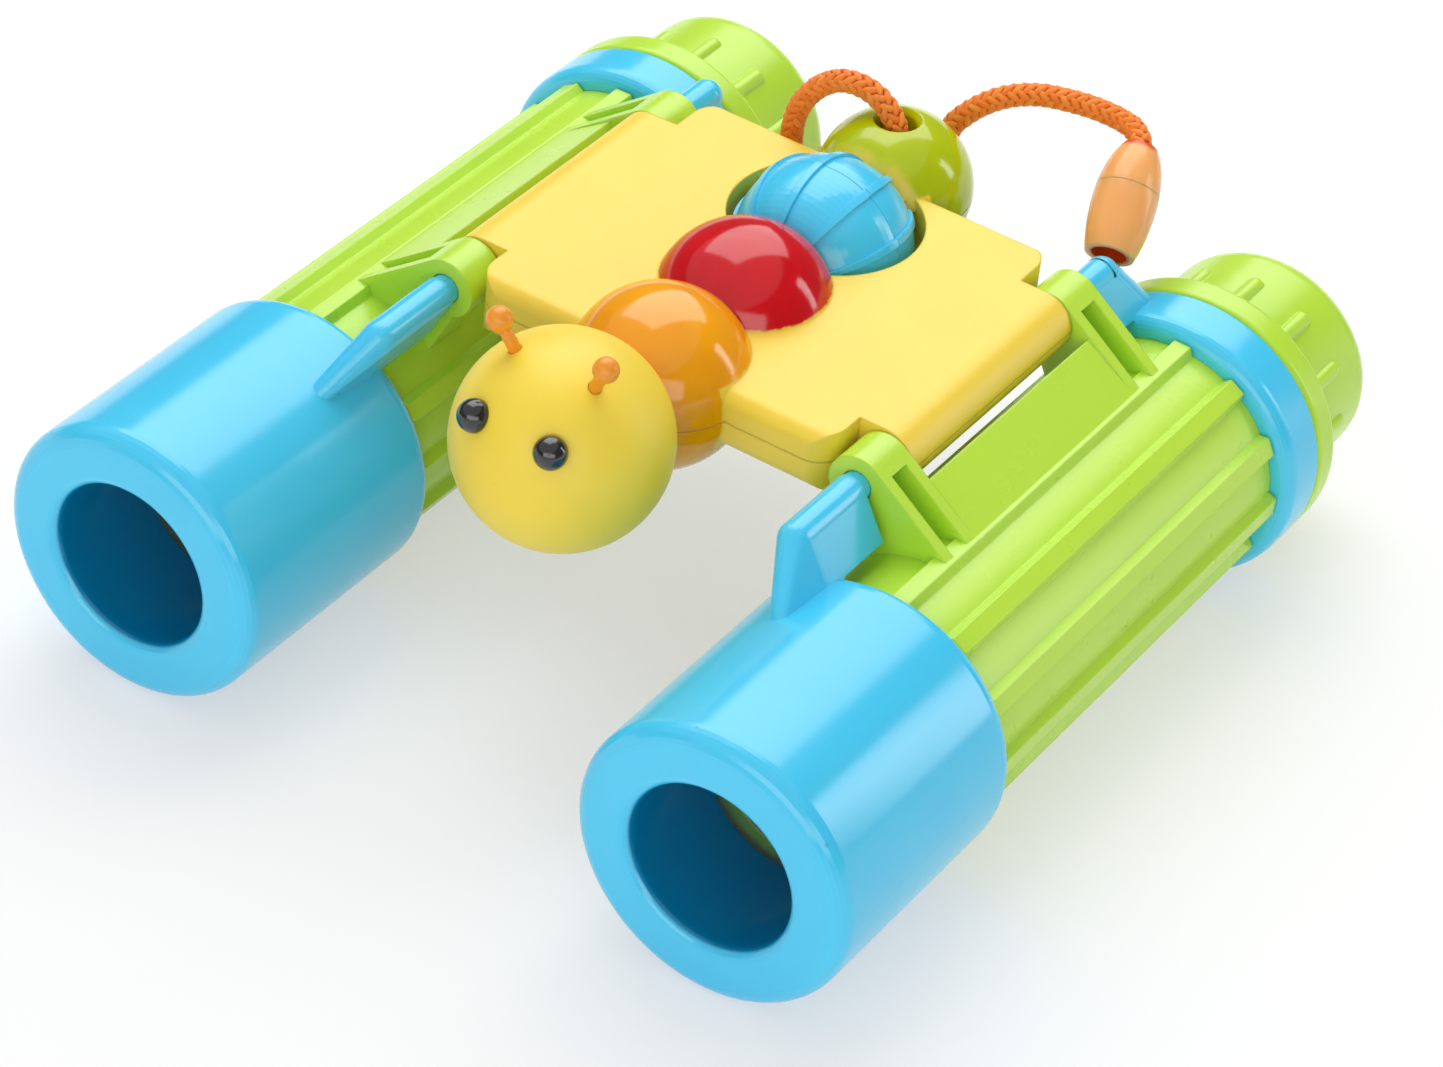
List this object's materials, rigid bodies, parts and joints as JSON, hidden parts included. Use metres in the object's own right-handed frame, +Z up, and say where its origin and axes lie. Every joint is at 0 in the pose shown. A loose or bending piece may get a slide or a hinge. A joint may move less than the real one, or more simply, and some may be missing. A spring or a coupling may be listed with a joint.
{
  "type": "toy binoculars",
  "caption": "Toy binoculars: ribbed barrels with blue hoods fold on a bug-shaped bridge with a turning focus wheel, and a neck cord with an open breakaway clasp.",
  "frame": {"origin": "on the table, under the middle of the object without its cord", "axes": "+Z up; the barrels lie along Y with the hoods at -Y and the eyepieces at +Y; X runs from the left barrel to the right barrel as seen from the hoods"},
  "size_m": [0.165, 0.1928, 0.0748],
  "materials": {
    "yellow_plastic": "satin moulded plastic, with the body balls painted in gloss orange, red and lime",
    "green_plastic": "satin moulded plastic",
    "blue_plastic": "satin moulded plastic",
    "orange_plastic": "gloss moulded plastic",
    "black_plastic": "gloss moulded plastic",
    "bead_plastic": "slightly milky moulded plastic",
    "lens": "clear acrylic",
    "steel": "zinc-plated",
    "cord": "braided",
    "tie": "matt elastic band"
  },
  "bodies": {
    "bridge": {"bridge_top_shell": "yellow_plastic", "bridge_bottom_shell": "yellow_plastic", "bridge_screws": "steel", "head": "yellow_plastic", "bead_eyes": "black_plastic", "antennae": "orange_plastic", "wheel_axle": "steel", "cord_strand_a": "cord", "cord_strand_b": "cord", "cord_hank": "cord", "cord_tie": "tie", "clasp_bead_body": "bead_plastic", "clasp_bead_cap": "bead_plastic", "clasp_plug": "bead_plastic"},
    "focus_wheel": {"focus_wheel_front": "blue_plastic", "focus_wheel_rear": "blue_plastic"},
    "left_barrel": {"left_tube": "green_plastic", "left_hood": "blue_plastic", "left_band": "blue_plastic", "left_eyepiece": "green_plastic", "left_objective_lens": "lens", "left_eye_lens": "lens"},
    "right_barrel": {"right_tube": "green_plastic", "right_hood": "blue_plastic", "right_band": "blue_plastic", "right_eyepiece": "green_plastic", "right_objective_lens": "lens", "right_eye_lens": "lens"}
  },
  "joints": [
    {"name": "left_barrel_fold", "type": "hinge", "parent": "bridge", "child": "left_barrel", "pos_m": [-0.0375, 0, 0.0504], "axis": [0, -1, 0], "range_deg": [0, 38]},
    {"name": "right_barrel_fold", "type": "hinge", "parent": "bridge", "child": "right_barrel", "pos_m": [0.0375, 0, 0.0504], "axis": [0, 1, 0], "range_deg": [0, 38]},
    {"name": "focus_wheel_spin", "type": "hinge", "parent": "bridge", "child": "focus_wheel", "pos_m": [0, 0.0242, 0.0504], "axis": [0, 1, 0], "continuous": true}
  ]
}
